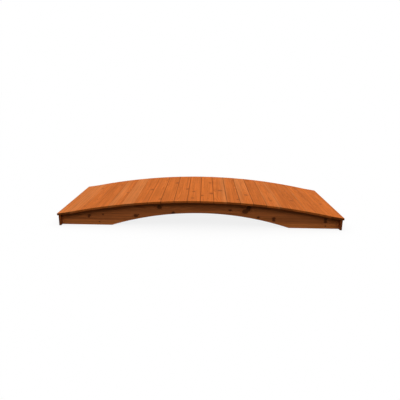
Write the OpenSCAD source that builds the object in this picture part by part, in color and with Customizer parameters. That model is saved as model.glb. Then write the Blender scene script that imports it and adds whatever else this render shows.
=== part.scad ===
// Low arched garden bridge: flat planks on three bow-shaped stringers, with a board across each end.
// X runs along the bridge, Y across it and Z up. The origin is on the ground, under the crown.
// Every length is in millimetres.

/* [Deck] */
// Length of the bridge, over the tips of the deck
bridge_length = 3048; // [2440:1:3660]
// Width of the deck, which is the length of every plank
deck_width = 1219; // [900:1:1500]
// Rise of the deck's top from its tips to its crown
deck_rise = 165; // [130:1:220]
// Height of the deck's tips above the ground, at their top edge
tip_height = 131; // [115:1:160]
// Height by which the outer edge of the first and the last plank is lifted off the bow
tip_lift = 8; // [0:1:14]
// Width of one plank
plank_width = 139; // [88:1:184]
// Thickness of one plank
plank_thickness = 22; // [18:1:32]
// Smallest gap between two planks, where they lie on the stringers
plank_gap = 0.2; // [0.1:0.1:6]
// Radius of the eased long edges of a plank
plank_edge_radius = 2; // [0.5:0.5:5]

/* [Stringers] */
// Thickness of one stringer
stringer_thickness = 38; // [30:1:60]
// Distance from the long edge of the deck in to the outer face of the stringer below it
stringer_inset = 44; // [10:1:150]
// Clear height under the crown of the arch
arch_height = 149; // [90:1:170]
// Length of the flat foot at each end of a stringer
foot_length = 534; // [350:1:750]

/* [End boards] */
// Thickness of the board across each end
end_board_thickness = 22; // [18:1:32]
// Distance that the deck's tip stands out past the end board
tip_overhang = 17; // [5:1:60]

/* [Hidden] */
deck_colour = "#CA6F35";
stringer_colour = "#C36A36";
end_board_colour = "#A35729";

// Sides of a drawn circle: many on the long bows of the stringers, few on the eased edges
bow_sides = 1440;
edge_sides = 32;

// The bow that the deck's top follows, with its centre under the crown
half_length = bridge_length / 2;
crown_height = tip_height + deck_rise;
bow_rise = deck_rise + tip_lift;
deck_radius = (half_length ^ 2 + bow_rise ^ 2) / (2 * bow_rise);
bow_centre_z = crown_height - deck_radius;

// The stringers' top edge, on which the planks lie
seat_radius = deck_radius - plank_thickness;

// The planks are spread evenly, with the outer corners of the first and the last at the deck's tips
plank_corner_radius = norm([deck_radius, plank_width / 2]);
last_plank_angle = asin(half_length / plank_corner_radius) - atan(plank_width / 2 / deck_radius);
seat_length = 2 * seat_radius * last_plank_angle * PI / 180;
plank_steps = floor(seat_length / (plank_width + plank_gap));
plank_count = plank_steps + 1;
plank_step_angle = 2 * last_plank_angle / plank_steps;

// The last plank is turned up about the inner edge of its underside, and lies on a straight seat
lift_angle = asin(tip_lift / plank_width);
end_slope = last_plank_angle - lift_angle;
seat_x = seat_radius * sin(last_plank_angle) - plank_width / 2 * cos(last_plank_angle);
seat_z = bow_centre_z + seat_radius * cos(last_plank_angle) + plank_width / 2 * sin(last_plank_angle);

// Ends of the stringers and of the boards that close them
end_board_outside = half_length - tip_overhang;
stringer_end = end_board_outside - end_board_thickness;
outer_stringer_y = deck_width / 2 - stringer_inset - stringer_thickness / 2;

// The arch under the stringers springs from the inner ends of their feet
arch_half_span = stringer_end - foot_length;
arch_radius = (arch_half_span ^ 2 + arch_height ^ 2) / (2 * arch_height);

// Planks are numbered from the left tip of the deck
function plank_name(number) = str("plank_", number < 10 ? "0" : "", number);
function plank_angle(number) = (number - 1) * plank_step_angle - last_plank_angle;

// Height of the last plank's seat at a distance x from the crown
function end_seat_height(x) = seat_z - (x - seat_x) * tan(end_slope);

// Stands an outline that is drawn in X and Z upright, and gives it a width along Y
module upright(width) {
    rotate([90, 0, 0]) linear_extrude(height = width, center = true) children();
}

// Section of a plank, with its underside on the X axis
module plank_section() {
    core_width = plank_width - 2 * plank_edge_radius;
    core_thickness = plank_thickness - 2 * plank_edge_radius;
    translate([-core_width / 2, 0]) square([core_width, plank_thickness]);
    translate([-plank_width / 2, plank_edge_radius]) square([plank_width, core_thickness]);
    for (side = [-1, 1], level = [0, 1])
        translate([side * core_width / 2, plank_edge_radius + level * core_thickness])
            circle(r = plank_edge_radius, $fn = edge_sides);
}

// One plank, lying flat across the bow at its own angle
module bow_plank(number) {
    translate([0, 0, bow_centre_z])
        rotate([0, plank_angle(number), 0])
            translate([0, 0, seat_radius])
                upright(deck_width) plank_section();
}

// The last plank, lying on its straight seat
module end_plank() {
    translate([seat_x, 0, seat_z])
        rotate([0, end_slope, 0])
            translate([plank_width / 2, 0, 0])
                upright(deck_width) plank_section();
}

// Any plank of the deck
module plank(number) {
    color(deck_colour)
        if (number == 1) mirror([1, 0, 0]) end_plank();
        else if (number == plank_count) end_plank();
        else bow_plank(number);
}

// What lies under the straight seats of the first and the last plank, past the stringers and below the ground
module under_end_seats() {
    inner_x = seat_x - plank_width;
    polygon([
        [-half_length, -crown_height],
        [half_length, -crown_height],
        [half_length, end_seat_height(half_length)],
        [inner_x, end_seat_height(inner_x)],
        [-inner_x, end_seat_height(inner_x)],
        [-half_length, end_seat_height(half_length)]
    ]);
}

// Side of a stringer: a bow on top with a straight seat at each end, two flat feet, and an arch between them
module stringer_side() {
    difference() {
        intersection() {
            union() {
                translate([0, bow_centre_z]) circle(r = seat_radius, $fn = bow_sides);
                under_end_seats();
            }
            translate([-stringer_end, 0]) square([2 * stringer_end, crown_height]);
        }
        translate([0, arch_height - arch_radius]) circle(r = arch_radius, $fn = bow_sides);
    }
}

// One stringer, with its middle plane at y
module stringer(y) {
    color(stringer_colour) translate([0, y, 0]) upright(stringer_thickness) stringer_side();
}

// The board across the right end, with its top cut to the slope of the last plank
module end_board() {
    color(end_board_colour)
        upright(deck_width)
            polygon([
                [stringer_end, 0],
                [end_board_outside, 0],
                [end_board_outside, end_seat_height(end_board_outside)],
                [stringer_end, end_seat_height(stringer_end)]
            ]);
}

stringer(-outer_stringer_y);  // front_stringer
stringer(0);  // middle_stringer
stringer(outer_stringer_y);  // rear_stringer
mirror([1, 0, 0]) end_board();  // left_end_board
end_board();  // right_end_board
for (number = [1 : plank_count])
    plank(number);
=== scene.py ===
"""Dresses a low arched garden bridge: planks on three bow-shaped stringers, with a board across each end.

Every length is in metres. X runs along the bridge, Y across it and Z up. The origin is on the ground, under
the crown of the bridge.
"""

import logging
import math
import random
from collections.abc import Callable, Iterable
from dataclasses import dataclass, field
from enum import Enum

import bmesh
import bpy
from mathutils import Matrix, Vector


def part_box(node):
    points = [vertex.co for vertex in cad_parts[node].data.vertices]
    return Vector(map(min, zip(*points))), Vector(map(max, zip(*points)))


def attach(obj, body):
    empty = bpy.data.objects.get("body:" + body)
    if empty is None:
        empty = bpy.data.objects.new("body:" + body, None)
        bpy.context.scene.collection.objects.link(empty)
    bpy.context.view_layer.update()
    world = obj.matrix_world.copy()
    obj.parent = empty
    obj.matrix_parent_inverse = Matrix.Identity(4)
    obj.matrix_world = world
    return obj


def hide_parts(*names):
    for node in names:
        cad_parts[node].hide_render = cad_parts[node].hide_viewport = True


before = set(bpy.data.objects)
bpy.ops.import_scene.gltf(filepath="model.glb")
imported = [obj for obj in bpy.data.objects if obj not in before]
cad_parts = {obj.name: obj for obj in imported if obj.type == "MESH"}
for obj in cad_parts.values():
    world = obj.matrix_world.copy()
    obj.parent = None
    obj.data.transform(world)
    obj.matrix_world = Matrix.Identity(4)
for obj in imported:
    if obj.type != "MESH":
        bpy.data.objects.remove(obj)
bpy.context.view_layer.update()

log = logging.getLogger("bridge")

Colour = tuple[int, int, int]
Light = tuple[float, float, float, float]
Triple = tuple[float, float, float]
Range = tuple[float, float]
BMesh = bmesh.types.BMesh
Material = bpy.types.Material
NodeTree = bpy.types.NodeTree
Piece = bpy.types.Object
Socket = bpy.types.NodeSocket
Feed = Socket | float | Triple | Light
EdgeDistance = Callable[[Vector], float]

BODY = "root"
PLANK_PREFIX = "plank_"

# The numbers of the axes, and the two directions along any of them
X, Y, Z = 0, 1, 2
SIDES = (-1, 1)

WHITE: Light = (1.0, 1.0, 1.0, 1.0)

# The middle of a random pattern, which runs from 0 to 1
MIDDLE = 0.5

# How far up the normal of a level face points, at least
LEVEL_NORMAL = 0.9

# Turns at which a mesh has a corner that gets eased, and up to which it shades as one smooth face
CORNER_DEG = 40
SMOOTH_DEG = 12


class Lay(Enum):
    """How a board lies: the axes that run across its face, through its thickness and along its fibres."""

    PLANK = (X, Z, Y)
    STRINGER = (Z, Y, X)
    END_BOARD = (Z, X, Y)

    @property
    def fibres(self) -> int:
        """Returns the number of the axis that the fibres follow."""
        return self.value[-1]


class Slot(Enum):
    """The record's material slots."""

    DECK = "deck_timber"
    STRINGER = "stringer_timber"
    END_BOARD = "end_board_timber"
    SCREW = "screw_steel"


class Detail(Enum):
    """How many layers of ever finer swells a random pattern has."""

    SMOOTH = 1.0
    SOFT = 2.0
    ROUGH = 3.0


@dataclass(frozen=True)
class Knot:
    """The mark of a branch: its centre across and along the board, and its radius."""

    across: float
    along: float
    radius: float


@dataclass(frozen=True)
class KnotScatter:
    """Where knots may lie on a board whose own aren't known, and how large they may be."""

    across: Range
    along: Range
    radius: Range

    def draw(self, count: int, chance: random.Random) -> tuple[Knot, ...]:
        """Returns that many knots, placed by chance."""
        spans = (self.across, self.along, self.radius)
        return tuple(Knot(*(chance.uniform(*span) for span in spans)) for _ in range(count))


@dataclass(frozen=True)
class Figure:
    """What a board shows: where the heart of its tree lies, its knots and how the stain took.

    The shares are of the light that the finish sends back: on the face, on end grain, and as painted shade
    at the long edges.
    """

    pith_across: float
    pith_through: float
    seed: float
    face_share: float = 1.0
    end_share: float = 0.86
    # Painted shade along the long edges, which stands for the shade in the seams and corners
    edge_shade_share: float = 0.94
    knots: tuple[Knot, ...] = ()


def light_of(colour: Colour) -> Light:
    """Turns a colour as a screen shows it into the light that a shader works with.

    Args:
        colour: Red, green and blue, each from 0 to 255.

    Returns:
        Red, green and blue as shares of the light sent back, and an alpha of 1.
    """
    toe, toe_slope, lift, power, full = 0.04045, 12.92, 0.055, 2.4, 255
    light = []
    for part in colour:
        share = part / full
        light.append(share / toe_slope if share <= toe else ((share + lift) / (1 + lift)) ** power)
    return (*light, 1.0)


class NodeBench:
    """Places and links the nodes of one node tree."""

    def __init__(self, tree: NodeTree) -> None:
        """Keeps the tree that the nodes go into."""
        self.tree = tree

    def place(
        self, kind: str, feeds: dict[str | int, Feed] | None = None, **settings: object
    ) -> bpy.types.Node:
        """Places one node.

        Args:
            kind: The node's type.
            feeds: What each input gets, by its name or number: another node's output, or a value.
            settings: The node's own settings.

        Returns:
            The new node.
        """
        node = self.tree.nodes.new(kind)
        for name, value in settings.items():
            setattr(node, name, value)
        for key, value in (feeds or {}).items():
            if isinstance(value, Socket):
                self.tree.links.new(value, node.inputs[key])
            else:
                node.inputs[key].default_value = value
        return node

    def math(self, operation: str, *values: Feed) -> Socket:
        """Returns what a Math node makes of the values."""
        return self.place("ShaderNodeMath", dict(enumerate(values)), operation=operation).outputs["Value"]

    def vector(self, operation: str, *values: Feed) -> Socket:
        """Returns what a Vector Math node makes of the values."""
        node = self.place("ShaderNodeVectorMath", dict(enumerate(values)), operation=operation)
        return node.outputs["Value" if operation == "LENGTH" else "Vector"]

    def scaled(self, vector: Feed, by: Feed) -> Socket:
        """Returns a vector or colour times a number."""
        node = self.place("ShaderNodeVectorMath", {"Vector": vector, "Scale": by}, operation="SCALE")
        return node.outputs["Vector"]

    def rise(self, value: Feed, low: Feed, high: Feed) -> Socket:
        """Returns a mask that rises smoothly from 0 to 1 as the value goes from low to high."""
        feeds = {"Value": value, "From Min": low, "From Max": high}
        return self.place("ShaderNodeMapRange", feeds, interpolation_type="SMOOTHSTEP").outputs["Result"]

    def spread(self, value: Feed, low: Feed, high: Feed) -> Socket:
        """Returns a value from 0 to 1 spread evenly from low to high."""
        feeds = {"Value": value, "To Min": low, "To Max": high}
        return self.place("ShaderNodeMapRange", feeds).outputs["Result"]

    def blend(self, share: Feed, first: Feed, second: Feed) -> Socket:
        """Mixes two colours.

        Args:
            share: How much of the second there is.
            first: The first colour.
            second: The second colour.

        Returns:
            The mixed colour.
        """
        # The node repeats the names of its sockets for each kind of data, so those for colours go by number
        factor, first_colour, second_colour, result = 0, 6, 7, 2
        feeds = {factor: share, first_colour: first, second_colour: second}
        return self.place("ShaderNodeMix", feeds, data_type="RGBA").outputs[result]

    def noise(self, place: Feed, detail: Detail, output: str = "Fac") -> Socket:
        """Returns a soft random pattern with one swell per unit of the place that it reads."""
        feeds = {"Vector": place, "Scale": 1.0, "Detail": detail.value}
        return self.place("ShaderNodeTexNoise", feeds).outputs[output]

    def sway(self, place: Feed, detail: Detail, reach: float) -> Socket:
        """Returns a random shift, which goes up to its reach to either side along each axis."""
        wave = self.vector("SUBTRACT", self.noise(place, detail, "Color"), (MIDDLE, MIDDLE, MIDDLE))
        return self.scaled(wave, 2 * reach)

    def parts(self, vector: Feed) -> tuple[Socket, Socket, Socket]:
        """Returns the three parts of a vector."""
        return tuple(self.place("ShaderNodeSeparateXYZ", {"Vector": vector}).outputs)

    def joined(self, first: Feed, second: Feed, third: Feed) -> Socket:
        """Returns a vector of three parts."""
        return self.place("ShaderNodeCombineXYZ", {0: first, 1: second, 2: third}).outputs["Vector"]

    def attribute(self, name: str) -> Socket:
        """Returns a vector that the piece's mesh carries under that name."""
        return self.place("ShaderNodeAttribute", attribute_name=name).outputs["Vector"]

    def effect(self, tree: NodeTree, feeds: dict[str | int, Feed]) -> bpy.types.bpy_prop_collection:
        """Places a shared effect and returns its outputs."""
        return self.place("ShaderNodeGroup", feeds, node_tree=tree).outputs

    def shader(self, kind: str, feeds: dict[str | int, Feed]) -> Socket:
        """Places a shader and returns what it puts out."""
        return self.place(kind, feeds).outputs[0]

    def mixed(self, share: Feed, first: Socket, second: Socket) -> Socket:
        """Returns the first shader, with that share of the second mixed in."""
        return self.shader("ShaderNodeMixShader", {0: share, 1: first, 2: second})


class Effect(NodeBench):
    """A node group that several finishes share."""

    def __init__(
        self, name: str, vectors: Iterable[str], values: Iterable[str], results: Iterable[str]
    ) -> None:
        """Makes the empty group.

        Args:
            name: The group's name.
            vectors: Names of the inputs that are vectors.
            values: Names of the inputs that are numbers.
            results: Names of the outputs, which are numbers.
        """
        super().__init__(bpy.data.node_groups.new(name, "ShaderNodeTree"))
        sockets = self.tree.interface
        for vector in vectors:
            sockets.new_socket(vector, in_out="INPUT", socket_type="NodeSocketVector")
        for value in values:
            sockets.new_socket(value, in_out="INPUT", socket_type="NodeSocketFloat")
        for result in results:
            sockets.new_socket(result, in_out="OUTPUT", socket_type="NodeSocketFloat")
        self.given = self.tree.nodes.new("NodeGroupInput").outputs
        self.results = self.tree.nodes.new("NodeGroupOutput").inputs

    def give(self, name: str, value: Socket) -> None:
        """Sends a value out of the group."""
        self.tree.links.new(value, self.results[name])


def new_material(name: str) -> tuple[Material, NodeBench]:
    """Makes an empty material.

    Args:
        name: Its name.

    Returns:
        The material, and a bench for its nodes.
    """
    material = bpy.data.materials.new(name)
    material.use_nodes = True
    material.node_tree.nodes.clear()
    return material, NodeBench(material.node_tree)


@dataclass
class TimberEffects:
    """The patterns of timber, each made once as a node group: knots, growth rings and fibres."""

    # How long a knot is across the fibres, as a share of its length along them
    knot_width_share: float = 0.8
    least_radius: float = 1e-4
    # How readily knots that lie close run into one, in radii
    knot_merge: float = 0.6
    # How far, and over what length, the heart of the tree wanders from a straight line
    wander: float = 0.03
    wander_length: float = 1.1
    # How far the rings swell, and the width and length of one swell
    swell: float = 0.006
    swell_size: Range = (0.06, 0.7)
    # How far the rings bend aside at a knot, and how fast that dies away with the square of its radii
    knot_bend: float = 0.012
    knot_bend_fall: float = 0.35
    # By how many rings the count of years drifts, and over what depth, so that the widths of rings vary
    ring_drift: float = 3.0
    ring_drift_depth: float = 0.03
    # Shares of a year at which its dark late wood begins, is full, begins to end and has ended
    late_wood_shares: tuple[float, float, float, float] = (0.2, 0.86, 0.9, 1.0)
    # How dark the late wood of the faintest and of the strongest year is
    year_shares: Range = (0.35, 1.0)
    # Width and length of one fibre, of one streak along the grain and of one cloud of stain
    fibre_size: Range = (0.0016, 0.11)
    streak_size: Range = (0.018, 0.9)
    cloud_size: Range = (0.09, 0.32)
    # A step that sets the patterns of two boards apart, for each unit of their seeds
    seed_step: Triple = (3.7, 1.9, 5.3)
    knot: NodeTree = field(init=False)
    rings: NodeTree = field(init=False)
    fibres: NodeTree = field(init=False)

    def __post_init__(self) -> None:
        """Makes the groups."""
        self.knot = self._make_knot()
        self.rings = self._make_rings()
        self.fibres = self._make_fibres()

    def _make_knot(self) -> NodeTree:
        """Makes the group that measures how far a point is from a knot, in the knot's own radii.

        Returns:
            The group, which keeps the least of that and of the distance that it is given.
        """
        group = Effect("Knot", ("Board", "Knot"), ("Nearest so far",), ("Nearest",))
        across, _, along = group.parts(group.given["Board"])
        knot_across, knot_along, knot_radius = group.parts(group.given["Knot"])
        aside = group.math("SUBTRACT", across, knot_across)
        away = group.math("MULTIPLY", group.math("SUBTRACT", along, knot_along), self.knot_width_share)
        distance = group.vector("LENGTH", group.joined(aside, away, 0.0))
        radii = group.math("DIVIDE", distance, group.math("MAXIMUM", knot_radius, self.least_radius))
        nearest = group.math("SMOOTH_MIN", radii, group.given["Nearest so far"], self.knot_merge)
        group.give("Nearest", nearest)
        return group.tree

    def _make_rings(self) -> NodeTree:
        """Makes the group of growth rings around the heart of the tree.

        Returns:
            The group, with the dark late wood of each ring and the distance from the heart.
        """
        inputs, outputs = ("Ring width", "Knot distance"), ("Late wood", "Depth")
        group = Effect("Growth rings", ("Board", "Log"), inputs, outputs)
        board, radii = group.given["Board"], group.given["Knot distance"]
        _, _, along = group.parts(board)
        pith_across, pith_through, seed = group.parts(group.given["Log"])
        step = group.scaled(self.seed_step, seed)
        path = group.joined(0.0, 0.0, group.math("DIVIDE", along, self.wander_length))
        drift = group.sway(group.vector("ADD", path, step), Detail.SMOOTH, self.wander)
        heart = group.vector("ADD", group.joined(pith_across, pith_through, 0.0), drift)
        square_to_fibres = (1.0, 1.0, 0.0)
        arm = group.vector("MULTIPLY", group.vector("SUBTRACT", board, heart), square_to_fibres)
        wave = group.math("SUBTRACT", self._swells(group, self.swell_size, step), MIDDLE)
        swell = group.math("MULTIPLY", wave, 2 * self.swell)
        fall = group.math("MULTIPLY", group.math("MULTIPLY", radii, radii), -self.knot_bend_fall)
        bend = group.math("MULTIPLY", group.math("EXPONENT", fall), self.knot_bend)
        depth = group.math("ADD", group.math("ADD", group.vector("LENGTH", arm), swell), bend)
        group.give("Late wood", self._late_wood(group, depth, seed))
        group.give("Depth", depth)
        return group.tree

    def _late_wood(self, group: Effect, depth: Socket, seed: Socket) -> Socket:
        """Counts the years up to a depth, each with its own width and strength.

        Args:
            group: Where the nodes go.
            depth: The distance from the heart of the tree.
            seed: The board's seed.

        Returns:
            How dark the late wood is there.
        """
        place = group.joined(group.math("DIVIDE", depth, self.ring_drift_depth), seed, 0.0)
        drift = group.math("MULTIPLY", group.noise(place, Detail.SMOOTH), self.ring_drift)
        years = group.math("ADD", group.math("DIVIDE", depth, group.given["Ring width"]), drift)
        season = group.math("FRACT", years)
        begin, full, fade, end = self.late_wood_shares
        late = group.math("MULTIPLY", group.rise(season, begin, full), group.rise(season, end, fade))
        year = group.math("ADD", group.math("FLOOR", years), seed)
        strength = group.place("ShaderNodeTexWhiteNoise", {"W": year}, noise_dimensions="1D")
        return group.math("MULTIPLY", late, group.spread(strength.outputs["Value"], *self.year_shares))

    def _make_fibres(self) -> NodeTree:
        """Makes the group of fine fibres, of streaks along them and of clouds where more or less stain took.

        Returns:
            The group, with all three patterns.
        """
        group = Effect("Fibres", ("Board", "Log"), (), ("Fibre", "Streak", "Cloud"))
        _, _, seed = group.parts(group.given["Log"])
        step = group.scaled(self.seed_step, seed)
        sizes = {"Fibre": self.fibre_size, "Streak": self.streak_size, "Cloud": self.cloud_size}
        for name, size in sizes.items():
            group.give(name, self._swells(group, size, step))
        return group.tree

    def _swells(self, group: Effect, size: Range, step: Socket) -> Socket:
        """Makes a random pattern that is drawn out along the fibres.

        Args:
            group: Where the nodes go.
            size: The width and the length of one swell.
            step: What sets the board apart from others.

        Returns:
            The pattern.
        """
        width, length = size
        place = group.vector("DIVIDE", group.given["Board"], (width, width, length))
        return group.noise(group.vector("ADD", place, step), Detail.ROUGH)


@dataclass(frozen=True)
class KnotFinish:
    """How the knots of one kind of board look.

    The shares say how far a colour covers what is below it. Each band goes from where a mark begins to where
    it is full, in the knot's own radii.
    """

    # The most knots that a board has
    count: int
    heart: Colour
    rim: Colour
    heart_share: float = 0.8
    rim_share: float = 0.5
    # How far the heart's colour spreads into the wood around it, as a share of its own
    halo_share: float = 0.3
    heart_band: Range = (1.15, 0.85)
    halo_band: Range = (2.6, 0.9)
    rim_outer_band: Range = (1.3, 1.05)
    rim_inner_band: Range = (0.8, 1.0)
    pith_band: Range = (0.35, 0.1)
    # How many rings the heart has in each radius, and how dark they are
    rings: float = 4.0
    ring_share: float = 0.7
    # How far apart the fine cracks in the heart are, and how broad, as a share of the swells they follow
    crack_spacing: float = 0.016
    crack_share: float = 0.025
    # How far a knot's outline strays from an oval, and over what length
    ripple: float = 0.009
    ripple_length: float = 0.036
    # A distance from which no knot shows, in radii
    far_away: float = 1000.0

    @property
    def layers(self) -> list[str]:
        """Returns the names under which a board's mesh carries its knots."""
        return [f"knot_{number}" for number in range(1, self.count + 1)]

    def distance(self, bench: NodeBench, effects: TimberEffects, board: Socket) -> Socket:
        """Measures how far a point is from the nearest knot of its board.

        Args:
            bench: Where the nodes go.
            effects: The shared patterns of timber.
            board: The place on the board.

        Returns:
            The distance, in that knot's radii.
        """
        ripple = bench.sway(bench.scaled(board, 1 / self.ripple_length), Detail.SOFT, self.ripple)
        place = bench.vector("ADD", board, ripple)
        nearest: Feed = self.far_away
        for layer in self.layers:
            feeds = {"Board": place, "Knot": bench.attribute(layer), "Nearest so far": nearest}
            nearest = bench.effect(effects.knot, feeds)["Nearest"]
        return nearest

    def paint(self, bench: NodeBench, colour: Socket, board: Socket, distance: Socket) -> Socket:
        """Paints the knots: a ringed and cracked heart, a dark rim, and wood that darkens towards it.

        Args:
            bench: Where the nodes go.
            colour: The colour of the wood.
            board: The place on the board.
            distance: The distance from the nearest knot, in its radii.

        Returns:
            The colour with the knots in it.
        """
        heart_colour, rim_colour = light_of(self.heart), light_of(self.rim)
        most_halo = self.heart_share * self.halo_share
        halo = bench.math("MULTIPLY", bench.rise(distance, *self.halo_band), most_halo)
        heart = bench.math("MULTIPLY", bench.rise(distance, *self.heart_band), self.heart_share)
        rim = bench.rise(distance, *self.rim_outer_band)
        rim = bench.math("MULTIPLY", rim, bench.rise(distance, *self.rim_inner_band))
        inside = bench.blend(self._marks(bench, board, distance), heart_colour, rim_colour)
        colour = bench.blend(halo, colour, heart_colour)
        colour = bench.blend(heart, colour, inside)
        return bench.blend(bench.math("MULTIPLY", rim, self.rim_share), colour, rim_colour)

    def _marks(self, bench: NodeBench, board: Socket, distance: Socket) -> Socket:
        """Makes a mask of the dark marks in the hearts of the knots: rings, pith and cracks.

        Args:
            bench: Where the nodes go.
            board: The place on the board.
            distance: The distance from the nearest knot, in its radii.

        Returns:
            The mask.
        """
        wave = bench.math("SINE", bench.math("MULTIPLY", distance, math.tau * self.rings))
        rings = bench.spread(bench.math("MULTIPLY_ADD", wave, MIDDLE, MIDDLE), 0.0, self.ring_share)
        pith = bench.rise(distance, *self.pith_band)
        swell = bench.noise(bench.scaled(board, 1 / self.crack_spacing), Detail.SMOOTH)
        off_crack = bench.math("ABSOLUTE", bench.math("SUBTRACT", swell, MIDDLE))
        crack = bench.rise(off_crack, self.crack_share, 0.0)
        return bench.math("MAXIMUM", bench.math("MAXIMUM", rings, pith), crack)


@dataclass(frozen=True)
class TimberFinish:
    """Stained softwood, as one kind of board wears it."""

    name: str
    slot: Slot
    lay: Lay
    early_wood: Colour
    late_wood: Colour
    sapwood: Colour
    knots: KnotFinish
    ring_width: float = 0.0042
    # Distance from the heart of the tree at which the pale sapwood begins, how gradually it does, and how
    # far its colour covers the rings
    sapwood_depth: float = 1.0
    sapwood_blend: float = 0.004
    sapwood_share: float = 0.75
    # How far in from the long edges the painted shade of the seams and corners reaches
    edge_shade_width: float = 0.005
    # Darkest and lightest that fibres, streaks and clouds make the face, as shares
    fibre_shares: Range = (0.86, 1.14)
    streak_shares: Range = (0.74, 1.26)
    cloud_shares: Range = (0.82, 1.18)
    # How square to the fibres a face is where it begins to show end grain, and where it shows nothing else
    end_grain_band: Range = (0.6, 0.9)
    # Roughness in the hollows and on the crests of the fibres
    roughness: Range = (0.82, 0.58)
    sheen_level: float = 0.025
    # Height of the grain, how strongly it shows, and how far late wood stands out beside a fibre
    grain_height: float = 0.0004
    grain_strength: float = 0.5
    late_wood_relief_share: float = 0.35

    def material(self, effects: TimberEffects) -> Material:
        """Makes the material.

        Args:
            effects: The shared patterns of timber.

        Returns:
            The material, which reads the board's own attributes.
        """
        material, bench = new_material(self.name)
        board, tree = bench.attribute("board"), bench.attribute("log")
        knot = self.knots.distance(bench, effects, board)
        feeds = {"Board": board, "Log": tree, "Ring width": self.ring_width, "Knot distance": knot}
        rings = bench.effect(effects.rings, feeds)
        fibres = bench.effect(effects.fibres, {"Board": board, "Log": tree})
        colour = bench.blend(rings["Late wood"], light_of(self.early_wood), light_of(self.late_wood))
        sap = bench.rise(rings["Depth"], self.sapwood_depth, self.sapwood_depth + self.sapwood_blend)
        sap = bench.math("MULTIPLY", sap, self.sapwood_share)
        colour = bench.blend(sap, colour, light_of(self.sapwood))
        colour = bench.scaled(colour, self._tone(bench, fibres))
        colour = self.knots.paint(bench, colour, board, knot)
        relief = bench.math("MULTIPLY", rings["Late wood"], self.late_wood_relief_share)
        feeds = {
            "Height": bench.math("ADD", fibres["Fibre"], relief),
            "Strength": self.grain_strength,
            "Distance": self.grain_height,
        }
        grain = bench.place("ShaderNodeBump", feeds).outputs["Normal"]
        feeds = {
            "Base Color": colour,
            "Roughness": bench.spread(fibres["Fibre"], *self.roughness),
            "Specular IOR Level": self.sheen_level,
            "Normal": grain,
        }
        wood = bench.shader("ShaderNodeBsdfPrincipled", feeds)
        bench.place("ShaderNodeOutputMaterial", {"Surface": wood})
        return material

    def _tone(self, bench: NodeBench, fibres: bpy.types.bpy_prop_collection) -> Socket:
        """Works out how light or dark the stain is, with painted shade along the long edges.

        Args:
            bench: Where the nodes go.
            fibres: The patterns of the fibres.

        Returns:
            The share of the light that the stain sends back, painted shade included.
        """
        # The three shares: the face, the end grain, and painted shade along the long edges
        face_share, end_share, edge_shade_share = bench.parts(bench.attribute("stain"))
        edge_distance, _, _ = bench.parts(bench.attribute("rim"))
        shares = (
            bench.spread(fibres["Fibre"], *self.fibre_shares),
            bench.spread(fibres["Streak"], *self.streak_shares),
            bench.spread(fibres["Cloud"], *self.cloud_shares),
            # Painted shade along the long edges, which stands for the shade in the seams and corners
            bench.spread(bench.rise(edge_distance, 0.0, self.edge_shade_width), edge_shade_share, 1.0),
            bench.spread(self._end_grain(bench), 1.0, end_share),
        )
        tone = face_share
        for share in shares:
            tone = bench.math("MULTIPLY", tone, share)
        return tone

    def _end_grain(self, bench: NodeBench) -> Socket:
        """Makes a mask of the faces that are cut across the fibres.

        Args:
            bench: Where the nodes go.

        Returns:
            The mask.
        """
        normal = bench.place("ShaderNodeNewGeometry").outputs["True Normal"]
        facing = bench.math("ABSOLUTE", bench.parts(normal)[self.lay.fibres])
        return bench.rise(facing, *self.end_grain_band)


@dataclass(frozen=True)
class ScrewFinish:
    """The dull brown coat of the screws, worn at its high spots."""

    name: str = "brown_screw_coat"
    coat: Colour = (92, 50, 24)
    worn: Colour = (118, 74, 42)
    speck_size: float = 0.0012
    # How high a speck is where the coat begins to wear, and where it is worn
    wear_band: Range = (0.5, 0.75)
    # Roughness and metal look of the coat, and of the worn spots
    roughness: Range = (0.6, 0.45)
    metal_shares: Range = (0.0, 0.25)
    sheen_level: float = 0.08

    def material(self) -> Material:
        """Makes the material.

        Returns:
            The material.
        """
        material, bench = new_material(self.name)
        place = bench.place("ShaderNodeTexCoord").outputs["Object"]
        speck = bench.noise(bench.scaled(place, 1 / self.speck_size), Detail.SOFT)
        wear = bench.rise(speck, *self.wear_band)
        feeds = {
            "Base Color": bench.blend(wear, light_of(self.coat), light_of(self.worn)),
            "Roughness": bench.spread(wear, *self.roughness),
            "Metallic": bench.spread(wear, *self.metal_shares),
            "Specular IOR Level": self.sheen_level,
        }
        steel = bench.shader("ShaderNodeBsdfPrincipled", feeds)
        bench.place("ShaderNodeOutputMaterial", {"Surface": steel})
        return material


@dataclass(frozen=True)
class Plank:
    """One plank of the frame: its name, its middle and the angle by which it leans to the right."""

    name: str
    middle: Vector
    lean: float

    @classmethod
    def of_node(cls, name: str, width: float, thickness: float, edge_radius: float) -> "Plank":
        """Reads a plank's lean from the length and height of its box.

        Args:
            name: The plank's name in the frame.
            width: The width of a plank.
            thickness: The thickness of a plank.
            edge_radius: The radius of its eased edges.

        Returns:
            The plank.
        """
        low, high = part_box(name)
        run, rise = high.x - low.x - 2 * edge_radius, high.z - low.z - 2 * edge_radius
        core, depth = width - 2 * edge_radius, thickness - 2 * edge_radius
        lean = math.atan2(core * rise - depth * run, core * run - depth * rise)
        middle = (low + high) / 2
        return cls(name, middle, math.copysign(lean, middle.x))

    @property
    def place(self) -> Matrix:
        """Returns the move that lays a plank, made about its own middle, on its seat."""
        return Matrix.Translation(self.middle) @ Matrix.Rotation(self.lean, 4, "Y")


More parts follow.
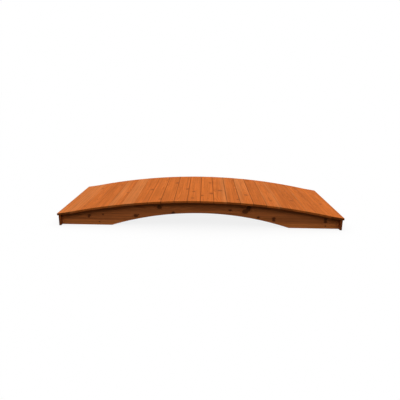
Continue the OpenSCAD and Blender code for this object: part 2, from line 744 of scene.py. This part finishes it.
@dataclass(frozen=True)
class Bow:
    """The top edge of the stringers: a bow with a straight seat under the plank at each end."""

    centre_z: float
    radius: float
    seat_x: float
    seat_z: float
    seat_slope: float
    seat_start: float

    @classmethod
    def under(cls, planks: list[Plank], width: float, thickness: float) -> "Bow":
        """Finds the edge from the planks that lie on it.

        Args:
            planks: The planks, from the left tip to the right one.
            width: The width of a plank.
            thickness: The thickness of a plank.

        Returns:
            The edge.
        """
        crown, outer, last = planks[len(planks) // 2].middle, planks[-2].middle, planks[-1]
        gap = (outer.x**2 + outer.z**2) - (crown.x**2 + crown.z**2)
        centre_z = gap / (2 * (outer.z - crown.z))
        radius = math.hypot(outer.x, outer.z - centre_z) - thickness / 2
        seat = last.place @ Vector((0.0, 0.0, -thickness / 2))
        return cls(centre_z, radius, seat.x, seat.z, math.tan(last.lean), seat.x - width)

    def height(self, x: float) -> float:
        """Finds the height of the edge.

        Args:
            x: The place along the bridge.

        Returns:
            The height of the bow there, or of the straight seat where that is higher.
        """
        bow = self.centre_z + math.sqrt(self.radius**2 - x**2)
        if abs(x) < self.seat_start:
            return bow
        return max(bow, self.seat_height(x))

    def seat_height(self, x: float) -> float:
        """Returns the height of the straight seat at x."""
        return self.seat_z - (abs(x) - self.seat_x) * self.seat_slope


def middle_of(node: str) -> Vector:
    """Returns the middle of a node's box."""
    low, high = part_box(node)
    return (low + high) / 2


def block_of(node: str) -> BMesh:
    """Makes a block that fills a node's box.

    Args:
        node: The node's name.

    Returns:
        The block's mesh.
    """
    low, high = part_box(node)
    bm = bmesh.new()
    bmesh.ops.create_cube(bm, size=1.0)
    bmesh.ops.scale(bm, vec=high - low, verts=bm.verts)
    bmesh.ops.translate(bm, vec=middle_of(node), verts=bm.verts)
    return bm


def cut_across(bm: BMesh, axis: int, places: Iterable[float]) -> None:
    """Cuts a mesh square to an axis.

    Args:
        bm: The mesh.
        axis: The number of the axis.
        places: Where along the axis the cuts go.
    """
    normal = Vector((0.0, 0.0, 0.0))
    normal[axis] = 1.0
    for place in places:
        geometry = [*bm.verts, *bm.edges, *bm.faces]
        bmesh.ops.bisect_plane(bm, geom=geometry, plane_co=normal * place, plane_no=normal)


def ease(bm: BMesh, edges: list[bmesh.types.BMEdge], radius: float, segments: int) -> None:
    """Rounds edges over.

    Args:
        bm: The mesh.
        edges: Its edges that are rounded.
        radius: How far from the edge the rounding begins.
        segments: How many faces it has.
    """
    bmesh.ops.bevel(
        bm,
        geom=edges,
        offset=radius,
        affect="EDGES",
        segments=segments,
        profile=0.5,
        material=-1,
        loop_slide=True,
    )


def sharp_edges(bm: BMesh) -> list[bmesh.types.BMEdge]:
    """Returns the edges at which a mesh turns a corner."""
    return [edge for edge in bm.edges if edge.calc_face_angle(0.0) > math.radians(CORNER_DEG)]


def mark_board(
    bm: BMesh, finish: TimberFinish, origin: Vector, figure: Figure, edge_distance: EdgeDistance
) -> None:
    """Writes what the timber finish reads on each vertex.

    Args:
        bm: The board's mesh, as it was sawn.
        finish: What the board wears. Knots that the board lacks get no radius.
        origin: The point that the board is measured from, in its middle plane.
        figure: What the board shows of its tree.
        edge_distance: Gives a point's distance from the nearest long edge.
    """
    names = ("board", "log", "rim", "stain", *finish.knots.layers)
    board, tree, rim, stain, *knots = [bm.verts.layers.float_vector.new(name) for name in names]
    missing = [Knot(0.0, 0.0, 0.0)] * (len(knots) - len(figure.knots))
    for vert in bm.verts:
        vert[board] = [vert.co[axis] - origin[axis] for axis in finish.lay.value]
        vert[tree] = (figure.pith_across, figure.pith_through, figure.seed)
        vert[rim] = (edge_distance(vert.co), 0.0, 0.0)
        # The last share is painted shade along the long edges
        vert[stain] = (figure.face_share, figure.end_share, figure.edge_shade_share)
        for layer, knot in zip(knots, [*figure.knots, *missing]):
            vert[layer] = (knot.across, knot.along, knot.radius)


def make_piece(bm: BMesh, name: str, material: Material, slot: Slot, node: str | None = None) -> Piece:
    """Turns a finished mesh into a piece of the bridge.

    Args:
        bm: The mesh, in its place. It is freed.
        name: The piece's name.
        material: What it wears.
        slot: The record's slot for that finish. It is not used.
        node: The node of the frame that it stands for, if any.

    Returns:
        The piece, riding on the bridge.
    """
    mesh = bpy.data.meshes.new(name)
    bm.to_mesh(mesh)
    bm.free()
    mesh.shade_smooth()
    mesh.set_sharp_from_angle(angle=math.radians(SMOOTH_DEG))
    mesh.materials.append(material)
    piece = bpy.data.objects.new(name, mesh)
    bpy.context.scene.collection.objects.link(piece)
    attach(piece, BODY)
    if node:
        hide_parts(node)
    return piece


# Knots of the deck that show, by the number of their plank: places across and along it, and sizes
DECK_KNOTS: dict[int, tuple[Knot, ...]] = {
    2: (Knot(0.059, 0.326, 0.014),),
    4: (Knot(0.022, 0.371, 0.013),),
    5: (Knot(0.044, -0.095, 0.012),),
    7: (Knot(0.053, -0.050, 0.019),),
    8: (Knot(0.062, -0.506, 0.018),),
    9: (Knot(0.058, 0.234, 0.024),),
    10: (Knot(0.062, -0.087, 0.024),),
    11: (Knot(-0.018, -0.489, 0.014), Knot(-0.010, -0.205, 0.016)),
    12: (Knot(-0.062, -0.380, 0.019), Knot(0.055, -0.279, 0.025), Knot(0.039, 0.247, 0.014)),
    13: (Knot(0.011, -0.125, 0.023),),
    14: (Knot(0.055, -0.475, 0.014),),
    15: (Knot(0.022, -0.251, 0.018),),
    16: (Knot(-0.028, 0.524, 0.012),),
    17: (Knot(0.007, -0.384, 0.013),),
    19: (Knot(-0.014, -0.245, 0.017),),
    22: (Knot(-0.060, -0.133, 0.016),),
}

# Small knots that every plank has besides
PIN_KNOTS = KnotScatter(across=(-0.05, 0.05), along=(-0.55, 0.55), radius=(0.003, 0.006))

# Planks whose faces have a known shade, as shares of the light that they send back
DECK_SHADE_SHARES: dict[int, float] = {
    3: 0.98, 5: 0.99, 6: 1.0, 8: 1.02, 16: 0.94, 17: 1.03, 18: 0.94, 19: 0.95, 20: 0.97
}

# Planks sawn from the outside of the log, where the wood turns to pale sapwood, and how far in its heart lay
SAPWOOD_PITHS_THROUGH: dict[int, float] = {1: 0.128, 2: 0.117, 5: 0.116, 6: 0.17, 15: 0.122, 17: 0.118}

# Crown planks, whose seams get deep painted shade for the shade in their gaps, and how dark that painted
# shade is there and elsewhere
CROWN_SHADED_SEAM_PLANKS = range(8, 17)
CROWN_SEAM_SHADE_SHARES: Range = (0.28, 0.5)
OTHER_SEAM_SHADE_SHARES: Range = (0.72, 0.92)

# Planks at the two tips, whose end grain gets painted shade for the shade on the ends of their overhangs, as
# shares too
TIP_END_SHADE_SHARES: dict[int, float] = {1: 0.4, 22: 0.4}


@dataclass
class Deck:
    """The planks across the bridge, with their screw holes."""

    finish: TimberFinish
    effects: TimberEffects
    names: list[str]
    stringer_rows: list[float]
    plank_width: float = 0.139
    plank_thickness: float = 0.022
    # Easing of the long edges and of the ends, and how many faces it has
    edge_radius: float = 0.002
    edge_segments: int = 3
    end_radius: float = 0.0008
    end_segments: int = 1
    # Distance from the middle of a plank out to each screw
    screw_offset: float = 0.042
    # Countersunk hole: the square patch that it is cut from, the cuts in each side that round its mouth,
    # the radius of the mouth, its depth and how much it narrows
    hole_patch: float = 0.013
    hole_cuts: int = 2
    hole_radius: float = 0.0048
    hole_depth: float = 0.0014
    hole_taper: float = 0.0006
    # How much damp has swelled a plank, at least and at most, which narrows the gaps
    swells: Range = (0.0002, 0.0003)
    # How far the edges of a plank may curl up or down, and how much shorter than the frame's it may be
    curl: float = 0.0006
    end_play: float = 0.0012
    # How far the heart of a plank's tree may lie to the side, and at what distances above or below
    pith_play: float = 0.06
    pith_distances: Range = (0.03, 0.11)
    # Shares of the light that faces and end grain of unknown shade send back
    face_shares: Range = (0.97, 1.04)
    end_shares: Range = (0.7, 1.15)
    seed: int = 11
    planks: list[Plank] = field(init=False)
    bow: Bow = field(init=False)

    def __post_init__(self) -> None:
        """Reads the planks and the edge that they lie on from the frame."""
        section = (self.plank_width, self.plank_thickness)
        self.planks = [Plank.of_node(name, *section, self.edge_radius) for name in self.names]
        self.bow = Bow.under(self.planks, *section)

    def build(self) -> list[Piece]:
        """Builds every plank.

        Returns:
            The pieces, from the left tip to the right one.
        """
        material = self.finish.material(self.effects)
        chance = random.Random(self.seed)
        numbered = enumerate(self.planks, 1)
        return [self._plank(plank, number, material, chance) for number, plank in numbered]

    def screws(self) -> list[Matrix]:
        """Places the screws.

        Returns:
            Where each screw head sits: on the floor of its hole, facing out of it.
        """
        sink = self.plank_thickness / 2 - self.hole_depth
        places = [(side * self.screw_offset, row, sink) for row in self.stringer_rows for side in SIDES]
        return [plank.place @ Matrix.Translation(place) for plank in self.planks for place in places]

    def _plank(self, plank: Plank, number: int, material: Material, chance: random.Random) -> Piece:
        """Builds one plank.

        Args:
            plank: Its place in the frame.
            number: Its number from the left tip.
            material: What it wears.
            chance: Where its small irregularities come from.

        Returns:
            The piece.
        """
        low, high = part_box(plank.name)
        length = high.y - low.y - chance.uniform(0, self.end_play)
        width = self.plank_width + chance.uniform(*self.swells)
        half_width = width / 2
        bm = self._saw(width, length)
        self._drill(bm)
        curl = chance.uniform(-self.curl, self.curl)
        for vert in bm.verts:
            vert.co.z += curl * (vert.co.x / half_width) ** 2 - max(curl, 0.0)
        figure = self._figure(number, chance)
        mark_board(bm, self.finish, Vector(), figure, lambda at: half_width - abs(at.x))
        bmesh.ops.transform(bm, matrix=plank.place, verts=bm.verts)
        return make_piece(bm, f"stained_{plank.name}", material, self.finish.slot, plank.name)

    def _saw(self, width: float, length: float) -> BMesh:
        """Makes a plain plank about the origin, with a square patch marked out on it for each screw hole.

        Args:
            width: Its width.
            length: Its length, across the bridge.

        Returns:
            Its mesh.
        """
        bm = bmesh.new()
        bmesh.ops.create_cube(bm, size=1.0)
        bmesh.ops.scale(bm, vec=(width, length, self.plank_thickness), verts=bm.verts)
        long_edges = [edge for edge in bm.edges if edge.calc_length() > length / 2]
        ease(bm, long_edges, self.edge_radius, self.edge_segments)
        ease(bm, sharp_edges(bm), self.end_radius, self.end_segments)
        around = [side * self.hole_patch / 2 for side in SIDES]
        cut_across(bm, X, [0.0, *(side * self.screw_offset + off for side in SIDES for off in around)])
        cut_across(bm, Y, [row + off for row in self.stringer_rows for off in around])
        return bm

    def _drill(self, bm: BMesh) -> None:
        """Cuts the countersunk screw holes into the top of a plank.

        Args:
            bm: The plank's mesh, with the patches marked out.
        """
        patch_area, tolerance_share = self.hole_patch**2, 0.01
        patches = [
            face
            for face in bm.faces
            if face.normal.z > LEVEL_NORMAL
            and math.isclose(face.calc_area(), patch_area, rel_tol=tolerance_share)
        ]
        bmesh.ops.inset_individual(bm, faces=patches, thickness=self.hole_patch / 2 - self.hole_radius)
        mouths = [edge for face in patches for edge in face.edges]
        bmesh.ops.subdivide_edges(bm, edges=mouths, cuts=self.hole_cuts)
        for face in patches:
            middle = face.calc_center_median()
            first = face.verts[0].co - middle
            for step, vert in enumerate(face.verts):
                turn = Matrix.Rotation(step * math.tau / len(face.verts), 3, "Z")
                vert.co = middle + turn @ first.normalized() * self.hole_radius
        bmesh.ops.inset_individual(bm, faces=patches, thickness=self.hole_taper, depth=-self.hole_depth)

    def _figure(self, number: int, chance: random.Random) -> Figure:
        """Gives one plank its figure.

        Args:
            number: The plank's number from the left tip.
            chance: Where what isn't known comes from.

        Returns:
            The figure.
        """
        pith_across = chance.uniform(-self.pith_play, self.pith_play)
        pith_through = chance.choice(SIDES) * chance.uniform(*self.pith_distances)
        if number in SAPWOOD_PITHS_THROUGH:
            pith_through = -SAPWOOD_PITHS_THROUGH[number]
        face_share = DECK_SHADE_SHARES.get(number, chance.uniform(*self.face_shares))
        # The end grain of the two tips gets painted shade
        end_share = TIP_END_SHADE_SHARES.get(number, chance.uniform(*self.end_shares))
        # Painted shade in the seams, deepest at the crown
        seam_shade_shares = CROWN_SEAM_SHADE_SHARES if number in CROWN_SHADED_SEAM_PLANKS else OTHER_SEAM_SHADE_SHARES
        return Figure(
            pith_across=pith_across,
            pith_through=pith_through,
            seed=float(number),
            face_share=face_share,
            end_share=end_share,
            edge_shade_share=chance.uniform(*seam_shade_shares),
            knots=(*DECK_KNOTS.get(number, ()), *PIN_KNOTS.draw(1, chance)),
        )


@dataclass
class Boards:
    """Boards of one kind, each with its own node and figure."""

    finish: TimberFinish
    effects: TimberEffects
    bow: Bow
    figures: dict[str, Figure]
    edge_radius: float = 0.0015
    edge_segments: int = 2

    def build(self) -> list[Piece]:
        """Builds every board.

        Returns:
            The pieces.
        """
        material = self.finish.material(self.effects)
        pieces = []
        for name, figure in self.figures.items():
            bm, origin, edge_distance = self._shape(name)
            mark_board(bm, self.finish, origin, figure, edge_distance)
            pieces.append(make_piece(bm, f"stained_{name}", material, self.finish.slot, name))
        return pieces

    def _shape(self, name: str) -> tuple[BMesh, Vector, EdgeDistance]:
        """Leaves the shape to each kind of board."""
        raise NotImplementedError(name)


@dataclass
class Stringers(Boards):
    """The three bow-shaped boards on edge that carry the deck."""

    arch_height: float = 0.149
    foot_length: float = 0.534
    # Length of one stretch of the bow and of the arch, about
    stretch: float = 0.025

    def _shape(self, name: str) -> tuple[BMesh, Vector, EdgeDistance]:
        """Shapes one stringer.

        Args:
            name: The node that it stands for.

        Returns:
            Its mesh, the point that it is measured from, and how far a point of it is from a long edge.
        """
        low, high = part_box(name)
        half_span = high.x - self.foot_length
        bm = block_of(name)
        cut_across(bm, X, self._columns(half_span))
        cut_across(bm, Z, [(low.z + high.z) / 2])
        for vert in bm.verts:
            bottom, top = self._underside(vert.co.x, half_span), self.bow.height(vert.co.x)
            share = (vert.co.z - low.z) / (high.z - low.z)
            vert.co.z = bottom + share * (top - bottom)
        ease(bm, sharp_edges(bm), self.edge_radius, self.edge_segments)

        def edge_distance(at: Vector) -> float:
            """Returns how far a point is from the nearest long edge."""
            return min(at.z - self._underside(at.x, half_span), self.bow.height(at.x) - at.z)

        return bm, Vector((0.0, middle_of(name).y, 0.0)), edge_distance

    def _columns(self, half_span: float) -> list[float]:
        """Spaces the cuts that let a straight block follow the bow and the arch.

        Args:
            half_span: Half the span of the arch.

        Returns:
            Where along the stringer the cuts go: at the crown, and evenly over the arch and the feet.
        """
        arch_count, foot_count = round(half_span / self.stretch), round(self.foot_length / self.stretch)
        arch = [half_span * column / arch_count for column in range(1, arch_count)]
        foot = [half_span + self.foot_length * column / foot_count for column in range(foot_count)]
        return [0.0, *(side * place for place in arch + foot for side in SIDES)]

    def _underside(self, x: float, half_span: float) -> float:
        """Finds the height of the underside.

        Args:
            x: The place along the stringer.
            half_span: Half the span of the arch.

        Returns:
            The height there: flat at the feet, and an arch between them.
        """
        if abs(x) >= half_span:
            return 0.0
        radius = (half_span**2 + self.arch_height**2) / (2 * self.arch_height)
        return math.sqrt(radius**2 - x**2) - (radius - self.arch_height)


@dataclass
class EndBoards(Boards):
    """The boards that close the two ends under the tips of the deck."""

    # Heights of the two screws over each stringer, as shares of the board's
    screw_height_shares: Range = (0.25, 0.7)

    def screws(self, rows: list[float]) -> list[Matrix]:
        """Places the screws.

        Args:
            rows: The places of the stringers across the bridge.

        Returns:
            Where each screw head sits: on the outer face, two over each stringer.
        """
        places = []
        for name in self.figures:
            low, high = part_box(name)
            side = math.copysign(1.0, middle_of(name).x)
            face = high.x if side > 0 else low.x
            turn = Matrix.Rotation(side * math.pi / 2, 4, "Y")
            heights = [low.z + share * (high.z - low.z) for share in self.screw_height_shares]
            places += [Matrix.Translation((face, row, z)) @ turn for row in rows for z in heights]
        return places

    def _shape(self, name: str) -> tuple[BMesh, Vector, EdgeDistance]:
        """Shapes one board, with its top cut to the slope of the plank above.

        Args:
            name: The node that it stands for.

        Returns:
            Its mesh, the point that it is measured from, and how far a point of it is from a long edge.
        """
        low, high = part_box(name)
        middle = middle_of(name)
        bm = block_of(name)
        for vert in bm.verts:
            if vert.co.z > middle.z:
                vert.co.z = self.bow.seat_height(vert.co.x)
        ease(bm, sharp_edges(bm), self.edge_radius, self.edge_segments)
        cut_across(bm, Y, [0.0])
        cut_across(bm, Z, [middle.z])
        return bm, Vector((middle.x, 0.0, 0.0)), lambda at: min(at.z - low.z, high.z - at.z)


@dataclass
class Screws:
    """Screw heads with a six-pointed socket, all of one kind."""

    finish: ScrewFinish
    head_radius: float = 0.004
    head_height: float = 0.0009
    rim_width: float = 0.0006
    land_width: float = 0.0011
    socket_depth: float = 0.0006
    socket_wall: float = 0.0002
    socket_point_share: float = 0.74
    sides: int = 12
    material: Material = field(init=False)

    def __post_init__(self) -> None:
        """Makes the material that all the heads wear."""
        self.material = self.finish.material()

    def build(self, name: str, places: list[Matrix]) -> Piece:
        """Builds one piece with a head at each place.

        Args:
            name: The piece's name.
            places: Where the undersides of the heads lie, and which way they face.

        Returns:
            The piece.
        """
        bm = bmesh.new()
        self._head(bm)
        pattern = [*bm.verts, *bm.edges, *bm.faces]
        first = list(bm.verts)
        for place in places[1:]:
            copy = bmesh.ops.duplicate(bm, geom=pattern)["geom"]
            verts = [part for part in copy if isinstance(part, bmesh.types.BMVert)]
            bmesh.ops.transform(bm, matrix=place, verts=verts)
        bmesh.ops.transform(bm, matrix=places[0], verts=first)
        return make_piece(bm, name, self.material, Slot.SCREW)

    def _head(self, bm: BMesh) -> None:
        """Makes one head about the origin, facing up.

        Args:
            bm: The empty mesh that it goes into.
        """
        bmesh.ops.create_cone(
            bm,
            cap_ends=True,
            segments=self.sides,
            radius1=self.head_radius,
            radius2=self.head_radius - self.rim_width,
            depth=self.head_height,
            matrix=Matrix.Translation((0.0, 0.0, self.head_height / 2)),
        )
        top = [face for face in bm.faces if face.normal.z > LEVEL_NORMAL]
        bmesh.ops.inset_individual(bm, faces=top, thickness=self.land_width)
        middle = top[0].calc_center_median()
        for vert in list(top[0].verts)[::2]:
            vert.co = middle + (vert.co - middle) * self.socket_point_share
        bmesh.ops.inset_individual(bm, faces=top, thickness=self.socket_wall, depth=-self.socket_depth)


@dataclass
class Studio:
    """A pale floor, soft light from above, and the camera."""

    camera_place: Triple = (0.0308, -4.6374, 1.4246)
    camera_turn_deg: float = 0.521
    camera_dip_deg: float = 15.495
    camera_roll_deg: float = 0.864
    focal_pixels: float = 399.62
    picture_pixels: float = 400.0
    sensor_width: float = 36.0
    floor_size: float = 120.0
    # Light that comes from all round, as a share of what falls on level ground
    fill_share: float = 0.12
    lamp_spread_deg: float = 110.0
    floor_colour: Colour = (48, 47, 46)
    # How far the floor shows plain white, which leaves the rest to the shadow
    background_share: float = 0.85

    def build(self) -> None:
        """Sets the stage, the light and the camera."""
        bpy.context.scene.view_settings.view_transform = "Standard"
        self._floor()
        self._lamp()
        self._world()
        self._camera()

    def _seen(self, bench: NodeBench) -> Socket:
        """Tells rays that show the surroundings, straight or in a mirror or glass, from those that light.

        Args:
            bench: Where the nodes go.

        Returns:
            1 for a ray that shows them, and else 0.
        """
        path = bench.place("ShaderNodeLightPath").outputs
        mirrored = bench.math("MAXIMUM", path["Is Glossy Ray"], path["Is Transmission Ray"])
        return bench.math("MAXIMUM", path["Is Camera Ray"], mirrored)

    def _floor(self) -> None:
        """Makes the floor, which shows white with the bridge's shadow on it."""
        bm = bmesh.new()
        bmesh.ops.create_grid(bm, x_segments=1, y_segments=1, size=self.floor_size / 2)
        mesh = bpy.data.meshes.new("floor")
        bm.to_mesh(mesh)
        bm.free()
        material, bench = new_material("pale_floor")
        plain = bench.shader("ShaderNodeBsdfDiffuse", {"Color": light_of(self.floor_colour)})
        pale = bench.shader("ShaderNodeBsdfDiffuse", {"Color": WHITE})
        glow = bench.shader("ShaderNodeEmission", {"Color": WHITE, "Strength": 1.0})
        shown = bench.mixed(self.background_share, pale, glow)
        both = bench.mixed(self._seen(bench), plain, shown)
        bench.place("ShaderNodeOutputMaterial", {"Surface": both})
        mesh.materials.append(material)
        floor = bpy.data.objects.new("floor", mesh)
        bpy.context.scene.collection.objects.link(floor)

    def _lamp(self) -> None:
        """Hangs a broad soft lamp straight overhead."""
        lamp = bpy.data.lights.new("overhead", "SUN")
        lamp.energy = (1 - self.fill_share) * math.pi
        lamp.angle = math.radians(self.lamp_spread_deg)
        bpy.context.scene.collection.objects.link(bpy.data.objects.new("overhead", lamp))

    def _world(self) -> None:
        """Gives the surroundings a soft fill, and shows them white."""
        world = bpy.data.worlds.new("studio")
        world.use_nodes = True
        world.node_tree.nodes.clear()
        bench = NodeBench(world.node_tree)
        fill = bench.shader("ShaderNodeBackground", {"Color": WHITE, "Strength": self.fill_share})
        shown = bench.shader("ShaderNodeBackground", {"Color": WHITE, "Strength": 1.0})
        both = bench.mixed(self._seen(bench), fill, shown)
        bench.place("ShaderNodeOutputWorld", {"Surface": both})
        bpy.context.scene.world = world

    def _camera(self) -> None:
        """Places the camera."""
        lens = bpy.data.cameras.new("camera")
        lens.sensor_width = self.sensor_width
        lens.lens = self.sensor_width * self.focal_pixels / self.picture_pixels
        camera = bpy.data.objects.new("camera", lens)
        level_deg = 90
        turn = Matrix.Rotation(math.radians(self.camera_turn_deg), 4, "Z")
        dip = Matrix.Rotation(math.radians(level_deg - self.camera_dip_deg), 4, "X")
        roll = Matrix.Rotation(math.radians(self.camera_roll_deg), 4, "Z")
        camera.matrix_world = Matrix.Translation(self.camera_place) @ turn @ dip @ roll
        bpy.context.scene.collection.objects.link(camera)
        bpy.context.scene.camera = camera


DECK_STAIN = TimberFinish(
    name="deck_stain",
    slot=Slot.DECK,
    lay=Lay.PLANK,
    early_wood=(206, 111, 46),
    late_wood=(182, 91, 35),
    sapwood=(206, 121, 62),
    knots=KnotFinish(count=4, heart=(148, 73, 32), rim=(94, 42, 18), heart_share=0.52, rim_share=0.4),
    sapwood_depth=0.125,
    sapwood_blend=0.03,
    edge_shade_width=0.006,
    streak_shares=(0.6, 1.4),
)

STRINGER_STAIN = TimberFinish(
    name="stringer_stain",
    slot=Slot.STRINGER,
    lay=Lay.STRINGER,
    early_wood=(210, 121, 64),
    late_wood=(182, 99, 50),
    # Pale sapwood low on the stringers, which also paints the extra light that falls on the lower part of
    # their faces
    sapwood=(238, 138, 70),
    knots=KnotFinish(count=18, heart=(98, 48, 24), rim=(64, 30, 15), heart_share=0.76, rim_share=0.45),
    sapwood_depth=0.155,
    sapwood_blend=0.04,
    streak_shares=(0.5, 1.5),
)

# Darker than the deck's stain, as painted shade for the end boards' corners under the deck's tips
END_BOARD_STAIN_AND_SHADE = TimberFinish(
    name="end_board_stain_and_shade",
    slot=Slot.END_BOARD,
    lay=Lay.END_BOARD,
    early_wood=(172, 92, 43),
    late_wood=(148, 76, 34),
    sapwood=(190, 106, 50),
    knots=KnotFinish(count=4, heart=(100, 48, 23), rim=(76, 36, 17)),
    # How far in the painted shade at the top edge and the darkening at the bottom edge reach
    edge_shade_width=0.016,
)

# Knots of the front stringer, which show in its shaded face: heights, places along it and sizes
FRONT_STRINGER_KNOTS = (
    Knot(0.104, -1.189, 0.011),
    Knot(0.085, -1.197, 0.008),
    Knot(0.119, -1.044, 0.007),
    Knot(0.034, -1.085, 0.005),
    Knot(0.110, -0.692, 0.015),
    Knot(0.120, -0.664, 0.006),
    Knot(0.207, -0.438, 0.019),
    Knot(0.148, -0.292, 0.013),
    Knot(0.189, 0.316, 0.011),
    Knot(0.221, 0.514, 0.018),
    Knot(0.202, 0.511, 0.017),
    Knot(0.179, 0.478, 0.022),
    Knot(0.114, 0.618, 0.010),
    Knot(0.106, 0.787, 0.012),
    Knot(0.082, 0.787, 0.011),
    Knot(0.102, 1.335, 0.012),
    Knot(0.075, 1.338, 0.011),
    Knot(0.029, 1.342, 0.006),
)

# Knots of the boards that don't show: heights, places along them and sizes, and how many each board has
HIDDEN_STRINGER_KNOTS = KnotScatter(across=(0.02, 0.2), along=(-1.4, 1.4), radius=(0.007, 0.02))
END_BOARD_KNOTS = KnotScatter(across=(0.02, 0.1), along=(-0.55, 0.55), radius=(0.007, 0.02))
MIDDLE_STRINGER_KNOT_COUNT = 9
REAR_STRINGER_KNOT_COUNT = 11
END_BOARD_KNOT_COUNT = 3

# Start of the draw that places them
HIDDEN_KNOT_SEED = 5


def stringer_figures(chance: random.Random) -> dict[str, Figure]:
    """Gives the stringers their figures.

    Args:
        chance: Where the hidden knots come from.

    Returns:
        The figures, by the names of their nodes, from the front to the rear.
    """
    return {
        "front_stringer": Figure(
            # The heart lies high, so that the pale sapwood, partly painted light, shows along the lower edge
            pith_across=0.205,
            pith_through=0.06,
            seed=31.0,
            knots=FRONT_STRINGER_KNOTS,
        ),
        "middle_stringer": Figure(
            pith_across=0.05,
            pith_through=-0.08,
            seed=32.0,
            face_share=0.95,
            knots=HIDDEN_STRINGER_KNOTS.draw(MIDDLE_STRINGER_KNOT_COUNT, chance),
        ),
        "rear_stringer": Figure(
            pith_across=0.21,
            pith_through=-0.055,
            seed=33.0,
            face_share=1.03,
            knots=HIDDEN_STRINGER_KNOTS.draw(REAR_STRINGER_KNOT_COUNT, chance),
        ),
    }


def end_board_figures(chance: random.Random) -> dict[str, Figure]:
    """Gives the end boards their figures.

    Args:
        chance: Where their knots come from.

    Returns:
        The figures, by the names of their nodes.
    """
    return {
        "left_end_board": Figure(
            pith_across=0.04,
            pith_through=0.05,
            seed=41.0,
            end_share=0.8,
            # Deep painted shade at the top edge, under the deck's tip, and the same darkening at the bottom
            # edge
            edge_shade_share=0.45,
            knots=END_BOARD_KNOTS.draw(END_BOARD_KNOT_COUNT, chance),
        ),
        "right_end_board": Figure(
            pith_across=0.07,
            pith_through=-0.06,
            seed=42.0,
            end_share=0.8,
            # Deep painted shade at the top edge, under the deck's tip, and the same darkening at the bottom
            # edge
            edge_shade_share=0.45,
            knots=END_BOARD_KNOTS.draw(END_BOARD_KNOT_COUNT, chance),
        ),
    }


def main() -> None:
    """Builds the bridge, piece by piece, and then the studio around it."""
    logging.basicConfig(level=logging.INFO, format="%(message)s")
    chance = random.Random(HIDDEN_KNOT_SEED)
    figures = stringer_figures(chance)
    planks = sorted(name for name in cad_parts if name.startswith(PLANK_PREFIX))
    rows = [middle_of(name).y for name in figures]
    effects = TimberEffects()
    deck = Deck(DECK_STAIN, effects, planks, rows)
    stringers = Stringers(STRINGER_STAIN, effects, deck.bow, figures)
    end_boards = EndBoards(END_BOARD_STAIN_AND_SHADE, effects, deck.bow, end_board_figures(chance))
    screws = Screws(ScrewFinish())
    pieces = [
        *deck.build(),
        *stringers.build(),
        *end_boards.build(),
        screws.build("deck_screws", deck.screws()),
        screws.build("end_board_screws", end_boards.screws(rows)),
    ]
    for piece in pieces:
        log.info("%s: %d faces", piece.name, len(piece.data.polygons))
    Studio().build()


if __name__ == "__main__":
    main()
